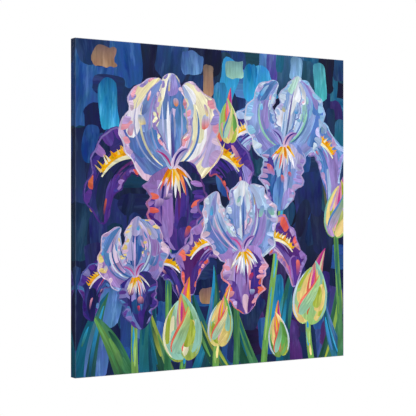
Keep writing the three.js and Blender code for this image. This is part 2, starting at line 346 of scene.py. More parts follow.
LIT = 0.64  # a place on a petal that is brighter than this takes its light paints
SHADED = 0.43  # and one that is darker than this its deep ones
RAYS = 13
BEARD_HAIRS = 15
CREST_HAIRS = 26
CREST_STEPS = 20
CREST_DEPTH = 0.06  # how far the pale line lies under the beard


def spread_over(rows, columns, start):
    """Uneven places all over a petal, row by row towards the tip."""
    for row in range(rows):
        for column in range(columns):
            along = start + (1 - start) * (row + 0.5 + brush.uniform(-0.35, 0.35)) / rows
            across = -0.85 + 1.7 * (column + 0.5 + brush.uniform(-0.4, 0.4)) / columns
            yield along, across


def paint_body(petal, look, brightness):
    """Broad patches, light, middling or deep as brightness says for each place on the petal."""
    for along, across in spread_over(rows=4, columns=3, start=0.08):
        bright = brightness(along, across) + brush.uniform(-0.16, 0.16)
        names = look.base
        if bright > LIT:
            names = look.light
        elif bright < SHADED:
            names = look.deep
        tone = pick(names)
        size = brush.uniform(0.28, 0.6), brush.uniform(0.45, 0.95)
        patch = petal.dab(along, across, *size, slant=brush.uniform(-1, 1))
        lay(patch, tone, petal.way(along), blend(tone, pick(names), 0.5))


def paint_creases(petal, look):
    """A deep line up the middle with a lit one beside it, and a fainter line on each side."""
    middle = brush.uniform(-0.12, 0.12)
    thick = petal.width * brush.uniform(0.1, 0.15)
    petal.brush_on(petal.vein(0, brush.uniform(0.6, 0.85), 0, middle, thick), look.veins, 0.4, look.deep)
    petal.brush_on(petal.vein(0.08, 0.7, 0.12, middle + 0.2, thick), look.light, 0.4)
    for side in (-1, 1):
        across, reach = side * brush.uniform(0.4, 0.6), brush.uniform(0.55, 0.9)
        line = petal.vein(0.05, reach, across * 0.5, across, thick * brush.uniform(0.5, 0.8))
        petal.brush_on(line, look.deep, 0.4, look.base)


def paint_margins(petal, look, count=10):
    """Short strokes across the ruffled margin, a lit rim on one side and a shaded one on the other."""
    for side in (-1, 1):
        for k in range(count):
            along = 0.25 + 0.72 * (k + brush.uniform(0.2, 0.8)) / count
            size = brush.uniform(0.05, 0.1), brush.uniform(0.18, 0.5)
            across = side * brush.uniform(0.76, 0.92)
            patch = petal.dab(along, across, *size, slant=brush.uniform(-3, 3), points=12)
            lay(patch, pick(look.margin), left_of(petal.way(along)))
        rim = petal.vein(0.15, 0.97, side * 0.96, side * 0.95, petal.width * 0.07, steps=26)
        lit = side * petal.lean >= 0
        petal.brush_on(rim, look.light if lit else look.veins, end_names=look.margin)


def paint_flecks(petal, look, count=3):
    for _ in range(count):
        along, across = brush.uniform(0.35, 0.9), brush.uniform(-0.7, 0.7)
        size = brush.uniform(0.06, 0.16), brush.uniform(0.14, 0.34)
        patch = petal.dab(along, across, *size, slant=brush.uniform(-2, 2), points=14)
        petal.brush_on(patch, look.flecks, along, look.base)


def paint_petal(petal, look, brightness):
    at_throat, at_tip, *_ = look.base.split()
    lay(petal.outline(), paint(at_throat), petal.way(0.5), paint(at_tip))
    paint_body(petal, look, brightness)
    paint_creases(petal, look)
    paint_margins(petal, look)
    paint_flecks(petal, look)


def paint_standard(petal, look):
    paint_petal(petal, look, lambda u, v: 0.5 + 0.3 * math.sin(2.2 * v + petal.phase) + 0.3 * (u - 0.4))


def paint_fall(petal, look):
    paint_petal(petal, look, lambda u, v: 0.52 + 0.28 * math.sin(2.2 * v + petal.phase) - 0.35 * (u - 0.4))


def paint_blaze(petal):
    """Pale rays round the throat of the near fall, and its golden beard over them."""
    for k in range(RAYS):
        across = -0.62 + 1.24 * k / (RAYS - 1) + brush.uniform(-0.05, 0.05)
        reach = 0.46 - 0.22 * abs(across) + brush.uniform(-0.08, 0.05)
        thick = petal.width * brush.uniform(0.06, 0.12)
        ray = petal.vein(0.02, reach, across * 0.35, across, thick, steps=6)
        petal.brush_on(ray, "white white cream pink coral ice", 0.2)
    for _ in range(BEARD_HAIRS):
        across, start = brush.uniform(-0.34, 0.34), brush.uniform(0, 0.1)
        reach = start + brush.uniform(0.1, 0.24)
        thick = petal.width * brush.uniform(0.06, 0.11)
        hair = petal.vein(start, reach, across * 0.5, across * 1.5, thick, steps=6)
        petal.brush_on(hair, "gold gold amber butter", 0.1)


def paint_crest(spot, side):
    """The golden beard along the arch of a side fall, with a pale line under it."""
    arch = [(0.05, 0.02), (0.36, 0.27), (0.74, 0.33), (0.98, 0.0)]
    top = interpolate_bezier(*[spot(side * x, y) for x, y in arch], CREST_STEPS + 1)
    under = interpolate_bezier(*[spot(side * x, y - CREST_DEPTH) for x, y in arch], CREST_STEPS + 1)
    way = spot.turn @ Vector((side, 0.2))
    band = ribbon(top, swelling(0.12 * spot.size, bluntness=0.6))
    lay(band, pick("amber gold"), way, paint("gold"))
    lay(ribbon(under, swelling(0.05 * spot.size, end=0.9)), pick("white cream"), way)
    for k in range(CREST_HAIRS):
        share = 0.12 + 0.88 * k / (CREST_HAIRS - 1)
        root = top[int(share * CREST_STEPS)]
        angle = math.pi / 2 - side * (share - 0.35) * 1.5 + brush.uniform(-0.45, 0.45)
        hair = Vector((math.cos(angle), math.sin(angle))) * spot.size * brush.uniform(0.07, 0.13)
        shape = ribbon([root, root + hair / 2, root + hair], lambda t: 0.036 * spot.size * (1.05 - t))
        lay(shape, pick("gold gold butter amber cream"), hair)


def paint_bloom(spot, look, opening):
    """Two side falls, three standards, the near fall over them, and the two arms over its throat."""
    standard_skin, fall_skin = SKINS[look]
    for side in (-1, 1):
        drop = -brush.uniform(0.62, 0.8)
        spine = [(side * 0.04, 0), (side * 0.5, 0.34), (side * 0.98, 0.12), (side * 0.98, drop)]
        paint_fall(Petal(spot, spine, 0.3, fullness=0.8, ruffle=0.16, lean=0.35 * side), fall_skin)
        paint_crest(spot, side)
    for spine, width, lean in STANDARDS[opening]:
        paint_standard(Petal(spot, spine, width, ruffle=0.13, lean=lean), standard_skin)
    spine = [(0, 0.06), (0.08, -0.2), (-0.05, -0.6), (0.04, -1)]
    near_fall = Petal(spot, spine, 0.42, fullness=0.7, ruffle=0.13)
    paint_fall(near_fall, fall_skin)
    paint_blaze(near_fall)
    for side in (-1, 1):
        spine = [(side * x, y) for x, y in ((0.02, 0), (0.03, 0.12), (0.1, 0.22), (0.24, 0.24))]
        arm = Petal(spot, spine, 0.055)
        arm.brush_on(arm.outline(14), "pale_blue orchid pink", end_names="mauve lilac")
        arm.brush_on(arm.vein(0.1, 0.95, 0, 0.3, 0.03 * spot.size), "magenta violet")


def paint_bud(spot, greens):
    """A pointed tip of colour in two green bracts, with a third wrapped over them."""
    first, second, third = greens.split()
    spine = [(0, 0.3), (0.05, 0.7), (0.08, 0.95), (0.22, 1.3)]
    tip = Petal(spot, spine, 0.15, ruffle=0.03, bluntness=0.8)
    tip.brush_on(tip.outline(18), "rose orchid butter", end_names="magenta mauve amber")
    for across in (-0.5, 0, 0.45):
        line = tip.vein(0.1, 0.95, across / 2, across, 0.05 * spot.size)
        tip.brush_on(line, "coral magenta cream gold")
    for side, reach in ((-1, 0.92), (1, 1.04)):
        spine = [(0, -0.08), (side * 0.26, 0.06), (side * 0.36, 0.5), (side * 0.03, reach)]
        bract = Petal(spot, spine, 0.22, ruffle=0.03, lean=0.2 * side, bluntness=0.7)
        lay(bract.outline(26), paint(first), bract.way(0.5), paint(second))
        for _ in range(7):
            along, across = brush.uniform(0.12, 0.88), brush.uniform(-0.7, 0.7)
            size = brush.uniform(0.3, 0.6), brush.uniform(0.6, 1.1)
            patch = bract.dab(along, across, *size, slant=brush.uniform(-1, 1))
            bract.brush_on(patch, f"{greens} yellow_green light_green butter leaf", along)
        shaded = bract.vein(0.05, 0.98, 0.7 * side, 0.85 * side, 0.06 * spot.size)
        bract.brush_on(shaded, "coral rose mauve")
        lit = bract.vein(0.2, 0.9, -0.8 * side, -0.86 * side, 0.045 * spot.size)
        bract.brush_on(lit, "cream ice mint")
    spine = [(-0.2, 0.02), (-0.12, 0.26), (0.14, 0.46), (0.16, 0.8)]
    wrap = Petal(spot, spine, 0.12, ruffle=0.03, bluntness=0.7)
    lay(wrap.outline(16), pick(f"yellow_green mint {third}"), wrap.way(0.5), paint(first))
    wrap.brush_on(wrap.vein(0.02, 0.98, 0.9, 0.9, 0.05 * spot.size), "coral rose mid_blue")


# ---- stems, leaves and ground ----

UP = Vector((0, 1))
LINE_STEPS = 24
STEM_WIDTH = 0.044


def paint_stem(spine, tones):
    line = interpolate_bezier(*[Vector(point) for point in spine], LINE_STEPS + 1)
    at_root, at_top, *_ = tones.split()
    lay(ribbon(line, lambda t: STEM_WIDTH * (1.1 - 0.25 * t)), paint(at_root), UP, paint(at_top))
    for _ in range(5):
        start = brush.randrange(0, LINE_STEPS - 7)
        shift = Vector((brush.uniform(-0.25, 0.25) * STEM_WIDTH, 0))
        part = [point + shift for point in line[start : start + brush.randrange(6, 10)]]
        lay(ribbon(part, swelling(0.4 * STEM_WIDTH)), pick(tones), UP)


def leaf_taper(share):
    return 1 - share**2.2


def paint_leaf(root, tip, bow, width, tones):
    """A sword leaf, its one half in another green, with a few stripes along it."""
    root, tip = Vector(root), Vector(tip)
    reach = tip - root
    side = left_of(reach).normalized()
    bend = side * reach.length * bow
    spine = (root, root + reach * 0.33 + bend, root + reach * 0.7 + bend, tip)
    line = interpolate_bezier(*spine, LINE_STEPS + 1)
    taper = [leaf_taper(i / LINE_STEPS) for i in range(LINE_STEPS + 1)]
    whole_tone, half_tone, *_ = tones.split()
    lay(ribbon(line, lambda t: width * leaf_taper(t) + 0.002), paint(whole_tone), reach, pick(tones))
    half = [point + side * width * share / 4 for point, share in zip(line, taper)]
    lay(ribbon(half, lambda t: width * leaf_taper(t) / 2 + 0.001), paint(half_tone), reach, pick(tones))
    for k in range(3):
        offset = (-0.36 + 0.36 * k + brush.uniform(-0.1, 0.1)) * width
        start, end = brush.randrange(0, 10), brush.randrange(15, LINE_STEPS)
        part = [line[i] + side * offset * taper[i] for i in range(start, end)]
        stripe = ribbon(part, swelling(width * brush.uniform(0.12, 0.3)))
        lay(stripe, pick(tones), reach, pick(tones))


GROUND_EDGE = 1.1  # past the picture's own edge, which is at 1
CELLS_EDGE = 1.05  # and that of the cells in which its brush patches are laid
UPRIGHT_SHARE = 0.8  # the share of the brush patches that stand upright, where the others lie level
ODD_SHARE = 0.05  # the share of places that take a paint from outside their region
GROUND_DABS = 22

# Each region of the ground: left, right, bottom, top, and the paints that make it.
REGIONS = (
    (-1.1, -0.6, 0.3, 1.1, "navy slate blue blue navy"),
    (-0.6, 0.05, 0.45, 1.1, "ink navy slate navy blue"),
    (0.05, 0.7, 0.45, 1.1, "teal blue deep_teal azure mid_blue navy"),
    (0.7, 1.1, 0.2, 1.1, "deep_teal slate navy teal ink"),
    (-1.1, -0.3, -1.1, -0.45, "blue blue navy indigo mid_blue"),
    (0.2, 1.1, -1.1, -0.4, "indigo navy plum ink blue"),
    (-1.1, 1.1, -1.1, 1.1, "ink navy slate navy indigo blue deep_teal"),
)

# Single patches that stand out of the ground: x, y, width, height and paint.
ACCENTS = (
    (-0.8, 0.9, 0.16, 0.13, "tan"), (0.88, 0.12, 0.1, 0.3, "olive"), (-0.86, 0.02, 0.1, 0.08, "tan"),
    (0.12, 0.88, 0.14, 0.12, "mint"), (0.8, 0.84, 0.1, 0.26, "aqua"), (-0.06, -0.56, 0.15, 0.1, "tan"),
    (0.0, 0.62, 0.1, 0.34, "azure"), (-0.78, 0.62, 0.13, 0.3, "azure"), (0.92, -0.84, 0.2, 0.24, "plum"),
    (0.24, 0.8, 0.1, 0.24, "azure"), (-0.82, 0.34, 0.1, 0.2, "blue"), (0.44, -0.62, 0.12, 0.36, "azure"),
    (-0.86, -0.86, 0.16, 0.3, "mid_blue"), (0.6, 0.92, 0.1, 0.16, "sky"), (-0.08, 0.8, 0.08, 0.2, "tan"),
    (0.97, 0.5, 0.1, 0.2, "teal"), (-0.2, 0.9, 0.16, 0.14, "mid_blue"), (0.84, -0.5, 0.1, 0.14, "violet"),
)

# The ground's coats: cells along a side, shortest and longest patch, and the share of the cells painted.
COATS = ((6, 0.45, 0.85, 1), (10, 0.26, 0.5, 0.6), (12, 0.12, 0.3, 0.3))


def ground_paint(x, y):
    if brush.random() < ODD_SHARE:
        return pick("violet deep_teal blue")
    for left, right, bottom, top, names in REGIONS:
        if left <= x < right and bottom <= y < top:
            return pick(names)


def soften(outline):
    """Cuts each corner of an outline once."""
    ends = outline[1:] + outline[:1]
    return [a.lerp(b, share) for a, b in zip(outline, ends) for share in (0.25, 0.75)]


def block(x, y, length, width, angle):
    """A flat brush's patch: nearly straight sides and ragged ends."""
    turn = Matrix.Rotation(angle, 2)
    bow = brush.uniform(-0.16, 0.16) * width
    outline = []
    for end in (1, -1):
        bristles = brush.randrange(4, 7)
        for k in range(bristles + 1):
            ragged = brush.uniform(-0.1, 0.1) * width
            reach = end * length * (0.4 if k in (0, bristles) else 0.5) + ragged
            outline.append(Vector((reach, end * width * (0.5 - k / bristles))))
        middle = brush.uniform(-0.3, 0.3) * length
        outline.append(Vector((middle, bow - end * width * brush.uniform(0.41, 0.53))))
    return soften([Vector((x, y)) + turn @ point for point in outline])


def paint_ground():
    """An even coat, three coats of brush patches from large to small, dabs, and the accents."""
    whole = [Vector((x, y)) * GROUND_EDGE for x, y in ((-1, -1), (1, -1), (1, 1), (-1, 1))]
    lay(whole, paint("navy"), UP, paint("ink"))
    for count, shortest, longest, share in COATS:
        cells = [(i, j) for i in range(count) for j in range(count)]
        brush.shuffle(cells)
        for i, j in cells[: int(len(cells) * share)]:
            x = -CELLS_EDGE + 2 * CELLS_EDGE * (i + brush.random()) / count
            y = -CELLS_EDGE + 2 * CELLS_EDGE * (j + brush.random()) / count
            angle = (math.pi / 2 if brush.random() < UPRIGHT_SHARE else 0) + brush.gauss(0, 0.12)
            tone = ground_paint(x, y)
            length, width = brush.uniform(shortest, longest), brush.uniform(shortest, longest) / 2
            shape = block(x, y, length, width, angle)
            along = (math.cos(angle), math.sin(angle))
            lay(shape, tone, along, blend(tone, ground_paint(x, y), 0.6))
    for _ in range(GROUND_DABS):
        x, y = brush.uniform(-1, 1), brush.uniform(-1, 1)
        tone = ground_paint(x, y)
        size = brush.uniform(0.12, 0.34), brush.uniform(0.1, 0.2)
        dab = blob(x, y, *size, brush.uniform(1.1, 2), rough=0.3)
        lay(dab, tone, UP, blend(tone, paint("blue"), 0.3))
    for x, y, width, height, name in ACCENTS:
        shape = block(x, y, height, width, math.pi / 2 + brush.gauss(0, 0.08))
        lay(shape, paint(name), UP, blend(paint(name), paint("navy"), 0.4))


COOL = "deep_teal teal green mid_blue azure"
WARM = "green forest leaf teal yellow_green"

# Each leaf: its root, its tip, how far it bows, its width and its greens.
LEAVES = (
    ((-0.95, -1.05), (-0.78, -0.5), 0.09, 0.15, COOL), ((-0.66, -1.05), (-0.9, -0.62), -0.08, 0.13, WARM),
    ((-0.5, -1.05), (-0.44, -0.34), 0.07, 0.13, COOL), ((-0.16, -1.05), (-0.04, -0.36), -0.1, 0.12, COOL),
    ((0.05, -1.05), (-0.2, -0.5), 0.08, 0.11, WARM), ((0.26, -1.05), (0.1, -0.55), 0.07, 0.12, WARM),
    ((0.5, -1.05), (0.62, -0.3), 0.08, 0.11, COOL), ((0.82, -1.05), (0.96, -0.42), -0.09, 0.11, WARM),
    ((0.98, -1.05), (0.84, -0.62), 0.06, 0.1, COOL), ((-0.36, -1.05), (-0.5, -0.62), 0.05, 0.1, WARM),
)

# The spine of each stem.
STEMS = (
    ((-0.38, -1.05), (-0.36, -0.6), (-0.38, -0.2), (-0.36, 0.1)),
    ((0.34, -1.05), (0.36, -0.7), (0.5, -0.1), (0.5, 0.32)),
    ((0.12, -1.05), (0.16, -0.8), (0.1, -0.4), (0.14, -0.25)),
    ((0.74, -1.05), (0.7, -0.9), (0.7, -0.8), (0.7, -0.66)),
    ((-0.28, -1.05), (-0.27, -1), (-0.26, -0.95), (-0.26, -0.84)),
    ((-0.6, -1.05), (-0.62, -0.8), (-0.6, -0.6), (-0.6, -0.5)),
    ((0.97, -1.05), (0.98, -0.7), (0.94, -0.4), (0.93, -0.1)),
    ((-0.02, -1.05), (-0.04, -0.9), (0, -0.8), (0, -0.74)),
)


def paint_picture():
    """The ground first, then what stands before it, from the far things to the near ones."""
    paint_ground()
    for leaf in LEAVES:
        paint_leaf(*leaf)
    for number, spine in enumerate(STEMS):
        paint_stem(spine, "leaf light_green butter azure" if number % 2 else "green leaf teal azure")
    paint_bloom(Spot(0.5, 0.4, 0.42, turn=-0.1), "ice", "leaning")
    paint_bloom(Spot(-0.34, 0.24, 0.5, turn=0.05), "cream", "closed")
    paint_bud(Spot(0.93, -0.16, 0.34, turn=-0.12, slimness=0.8), "leaf butter orchid")
    paint_bud(Spot(0.08, 0.44, 0.25, turn=0.1, slimness=0.75), "butter light_green rose")
    paint_bloom(Spot(-0.6, -0.42, 0.32, turn=0.12), "dusk", "leaning")
    paint_bloom(Spot(0.18, -0.28, 0.4, turn=0.04), "orchid", "open")
    paint_bud(Spot(0.7, -0.72, 0.36, turn=-0.14), "light_green mint butter")
    paint_bud(Spot(0.48, -0.94, 0.26, turn=0.2, slimness=0.8), "leaf butter mint")
    paint_bud(Spot(-0.26, -0.9, 0.36, turn=0.08), "yellow_green mint cream")
    paint_bud(Spot(0, -0.84, 0.28, turn=-0.1, slimness=0.85), "butter yellow_green mint")


# ---- the flat sheet ----


def cut_plane(points, edges):
    """Corners and triangles of the plane, none of which crosses one of the edges."""
    corners, _, triangles, *_ = delaunay_2d_cdt([Vector(p) for p in points], edges, [], 0, MERGE, False)
    return np.array([tuple(p) for p in corners]), np.array(triangles)


def loops_of(outlines):
    points, edges = [], []
    for outline in outlines:
        first, count = len(points), len(outline)
        points += outline
        edges += [(first + i, first + (i + 1) % count) for i in range(count)]
    return points, edges


def covers(outline, x, y):
    """Which of the points (x, y) lie inside the outline, by its winding number round each."""
    start = np.array(outline)
    end = np.roll(start, -1, axis=0)
    x, y = x[:, None], y[:, None]
    turn = (end[:, 0] - start[:, 0]) * (y - start[:, 1]) - (x - start[:, 0]) * (end[:, 1] - start[:, 1])
    rising = (start[:, 1] <= y) & (end[:, 1] > y) & (turn > 0)
    falling = (start[:, 1] > y) & (end[:, 1] <= y) & (turn < 0)
    return rising.sum(1) != falling.sum(1)


def top_patch(middles, outlines):
    """The number of the last patch laid over each of the middles."""
    top = np.zeros(len(middles), int)
    order = np.argsort(middles[:, 0])
    sorted_x = middles[order, 0]
    for number, outline in enumerate(outlines):
        low, high = np.min(outline, axis=0), np.max(outline, axis=0)
        near = order[np.searchsorted(sorted_x, low[0]) : np.searchsorted(sorted_x, high[0])]
        near = near[(middles[near, 1] >= low[1]) & (middles[near, 1] <= high[1])]
        if len(near):
            top[near[covers(outline, middles[near, 0], middles[near, 1])]] = number
    return top


def borders(triangles, top):
    """The edges between triangles that show different patches."""
    sides = [triangles[:, ends] for ends in ([0, 1], [1, 2], [2, 0])]
    edges = np.sort(np.concatenate(sides), axis=1)
    owner = np.tile(top, 3)
    order = np.lexsort((edges[:, 1], edges[:, 0]))
    edges, owner = edges[order], owner[order]
    paired = (edges[:-1] == edges[1:]).all(1) & (owner[:-1] != owner[1:])
    return edges[:-1][paired]


def guide_lines():
    """Distances from the middle at which the sheet needs points for its bends and for the picture's end."""
    front = [fold_start + fold_length * k / FOLD_STEPS for k in range(FOLD_STEPS // 2 + 1)]
    back = [back_fold_start + fold_length * k / FOLD_STEPS for k in range(FOLD_STEPS + 1)]
    past = [back_fold_start - FOLD_SUPPORT, *back, picture_end]
    return [fold_start - FOLD_SUPPORT, *front, *[2 * picture_half - distance for distance in past]]


def cut_sheet():
    """The picture's square, cut along the borders between patches: points, triangles, patch of each."""
    outlines = [[point * picture_half for point in patch.outline] for patch in picture]
    points, triangles = cut_plane(*loops_of(outlines))
    top = top_patch(points[triangles].mean(1), outlines)
    kept = borders(triangles, top)
    used, numbers = np.unique(kept, return_inverse=True)
    points = [tuple(p) for p in points[used]]
    edges = [tuple(int(i) for i in edge) for edge in numbers.reshape(-1, 2)]
    far = 1.05 * picture_half  # the guide lines run out past the square
    for distance in guide_lines():
        for ends in (
            ((distance, -far), (distance, far)), ((-distance, -far), (-distance, far)),
            ((-far, distance), (far, distance)), ((-far, -distance), (far, -distance)),
        ):
            edges.append((len(points), len(points) + 1))
            points += ends
    points, triangles = cut_plane(points, edges)
    middles = points[triangles].mean(1)
    inside = (np.abs(middles) < picture_half).all(1)
    triangles, middles = triangles[inside], middles[inside]
    used, numbers = np.unique(triangles, return_inverse=True)
    return points[used], numbers.reshape(-1, 3), top_patch(middles, outlines)


def brushed_corners(points, triangles, top):
    """For each corner of each triangle its colour, and its place along and across the bristles."""
    starts = linear([patch.colour for patch in picture])
    ends = linear([patch.end_colour for patch in picture])
    ways = np.array([tuple(patch.along) for patch in picture])
    middles = np.array([np.mean(patch.outline, axis=0) for patch in picture]) * picture_half
    reach = np.zeros(len(picture))
    for number, patch in enumerate(picture):
        outline = np.array(patch.outline) * picture_half - middles[number]
        reach[number] = np.abs(outline @ ways[number]).max()
    own = np.repeat(top, 3)
    offset = points[triangles.ravel()] - middles[own]
    along = (offset * ways[own]).sum(1)
    across = offset[:, 1] * ways[own, 0] - offset[:, 0] * ways[own, 1]
    share = np.clip(0.5 + 0.5 * along / np.maximum(reach[own], MERGE), 0, 1)[:, None]
    colours = starts[own] * (1 - share) + ends[own] * share
    # Each patch shows its own part of the bristles' pattern.
    apart = np.random.default_rng(5).uniform(0, 3, (len(picture), 2))
    return np.column_stack([colours, np.ones(len(own))]), np.column_stack([along, across]) + apart[own]


def flat_mesh():
    points, triangles, top = cut_sheet()
    colours, bristles = brushed_corners(points, triangles, top)
    mesh = bpy.data.meshes.new("stretched_canvas")
    mesh.from_pydata([(x, 0, z) for x, z in points], [], triangles.tolist())
    mesh.attributes.new("paint", "FLOAT_COLOR", "CORNER").data.foreach_set("color", colours.ravel())
    mesh.uv_layers.new(name="bristles").uv.foreach_set("vector", bristles.ravel())
    mesh.uv_layers.new(name="weave")
    return mesh


# ---- folding it over the bars ----

SIDES = (Vector((1, 0, 0)), Vector((-1, 0, 0)), Vector((0, 0, 1)), Vector((0, 0, -1)))
PRIMED = 1  # the turnover's place among the sheet's materials


def only(kind, parts):
    return [part for part in parts if isinstance(part, kind)]


def run_picture_round(bm):
    """Adds the mirrored strips that go round the sides."""
    band_start = 2 * picture_half - picture_end
    front = list(bm.faces)
    for side in SIDES:
        band = [face for face in front if face.calc_center_median().dot(side) > band_start]
        copied = bmesh.ops.duplicate(bm, geom=band)["geom"]
        mirror = Matrix.Translation(side * 2 * picture_half) @ Matrix.Scale(-1, 4, side)
        bmesh.ops.transform(bm, matrix=mirror, verts=only(BMVert, copied))
        bmesh.ops.reverse_faces(bm, faces=only(BMFace, copied))
    bmesh.ops.remove_doubles(bm, verts=bm.verts, dist=MERGE)


def add_turnover(bm):
    """Adds bare primed cloth past the end of the picture."""
    step = (sheet_end - picture_end) / TURNOVER_ROWS
    for side in SIDES:
        edge = [e for e in bm.edges if all(v.co.dot(side) > picture_end - MERGE for v in e.verts)]
        for _ in range(TURNOVER_ROWS):
            grown = bmesh.ops.extrude_edge_only(bm, edges=edge)["geom"]
            rim = only(BMVert, grown)
            bmesh.ops.translate(bm, vec=side * step, verts=rim)
            for face in only(BMFace, grown):
                face.material_index = PRIMED
            edge = [e for e in only(BMEdge, grown) if set(e.verts) <= set(rim)]
    bmesh.ops.reverse_faces(bm, faces=[f for f in bm.faces if f.normal.y > 0])


def section(distance):
    """How far out and how far behind the face the cloth is, at a distance along it from the middle."""
    past = distance - fold_start
    if past <= 0:
        return distance, 0
    if past <= fold_length:
        angle = past / EDGE_ROUND
        return fold_start + EDGE_ROUND * math.sin(angle), EDGE_ROUND * (1 - math.cos(angle))
    past -= fold_length
    if past <= side_length:
        return half_face, EDGE_ROUND + past
    past -= side_length
    if past <= fold_length:
        angle = past / EDGE_ROUND
        return fold_start + EDGE_ROUND * math.cos(angle), depth - EDGE_ROUND * (1 - math.sin(angle))
    return fold_start + fold_length - past, depth


def folded(flat):
    """Where a point of the flat sheet goes. The strips' ends meet on the corners' diagonals."""
    across, upright = abs(flat.x), abs(flat.z)
    out_x, back_x = section(across)
    out_z, back_z = section(upright)
    furthest = max(across, upright)
    if furthest > picture_half:
        out, _ = section(furthest)
        slit = CORNER_SLIT * min(1, (furthest - picture_half) / EDGE_ROUND)
        stretch = (out - slit) / section(picture_half)[0]
        if across > upright:
            out_z *= stretch
        else:
            out_x *= stretch
    back = min(depth, back_x + back_z)
    if furthest > picture_end:
        loose = (furthest - picture_end) / (sheet_end - picture_end)
        along = min(across, upright) * math.copysign(1, flat.x + flat.z)
        wander = sum(high * math.sin(along * pace + start) for pace, start, high in CUT_EDGE_WAVES)
        stray = wander * loose * CUT_EDGE_WANDER / 2
        if across > upright:
            out_x += stray
        else:
            out_z += stray
    place = Vector((math.copysign(out_x, flat.x), face_y + back, math.copysign(out_z, flat.z)))
    return centre + place


def lay_weave(bm, weave, axes):
    """Sets the cloth smooth, and keeps its flat places for the weave."""
    for face in bm.faces:
        face.smooth = True
        for loop in face.loops:
            loop[weave].uv = getattr(loop.vert.co, axes)


def put_in_scene(name, data):
    thing = bpy.data.objects.new(name, data)
    bpy.context.scene.collection.objects.link(thing)
    return thing


def cloth_piece(mesh, bm, inside):
    """A piece whose outer side is the mesh, with the cloth's real thickness inwards from there."""
    bm.to_mesh(mesh)
    bm.free()
    cloth = put_in_scene(mesh.name, mesh)
    shell = cloth.modifiers.new("thickness", "SOLIDIFY")
    shell.thickness = CLOTH
    shell.offset = -1
    shell.use_even_offset = True
    shell.material_offset = inside
    shell.material_offset_rim = inside
    return cloth


def stretched_canvas():
    mesh = flat_mesh()
    bm = bmesh.new()
    bm.from_mesh(mesh)
    run_picture_round(bm)
    add_turnover(bm)
    lay_weave(bm, bm.loops.layers.uv["weave"], "xz")
    for vert in bm.verts:
        vert.co = folded(vert.co)
    return cloth_piece(mesh, bm, inside=2)


def corner_fold(corner, quarters):
    """The end of a strip, folded under itself along the mitre: a three-cornered second layer."""
    near, far = half_face - TURNOVER, half_face - EDGE_ROUND
    bm = bmesh.new()
    bm.faces.new([bm.verts.new((x, 0, z)) for x, z in ((near, near), (near, far), (far, far))])
    bmesh.ops.subdivide_edges(bm, edges=bm.edges, cuts=FOLD_CUTS, use_grid_fill=True)
    lay_weave(bm, bm.loops.layers.uv.new("weave"), "zx")
    for vert in bm.verts:
        edge = min(vert.co.z - vert.co.x, far - vert.co.z, vert.co.x - near) / (far - near)
        vert.co.y = CLOTH + FOLD_LIFT - FOLD_CREASE * max(0, 1 - edge / FOLD_ROLL) ** 2
    turn = Matrix.Rotation(quarters * math.pi / 2, 4, "Y")
    place = Matrix.Translation(centre + Vector((0, back_y, 0)))
    bmesh.ops.transform(bm, matrix=place @ turn, verts=bm.verts)
    bmesh.ops.recalc_face_normals(bm, faces=bm.faces)
    if bm.faces[:][0].normal.y < 0:
        bmesh.ops.reverse_faces(bm, faces=bm.faces)
    return cloth_piece(bpy.data.meshes.new(f"corner_fold_{corner}"), bm, inside=0)


# ---- finishes ----

THREAD_DIP = 0.55  # how far a thread sinks between two crossings, as a share of its height
# The pale line along the bend is partly worn paint and partly a painted highlight where the rounded bend
# catches light.
WORN_AND_LIT_BAND = 0.0013  # how far the pale line along the bend reaches to each side of its middle
WORN_AND_LIT_SHARE = 0.3  # how much of the paint it hides there
GRAIN_STRETCH = 0.07  # how fast the wood changes along the grain, against across it
RING_DRIFT = 0.012  # how far the year rings stray from round
FIBRES = (60, 1400)  # how closely the fibres' pattern repeats along and across the grain


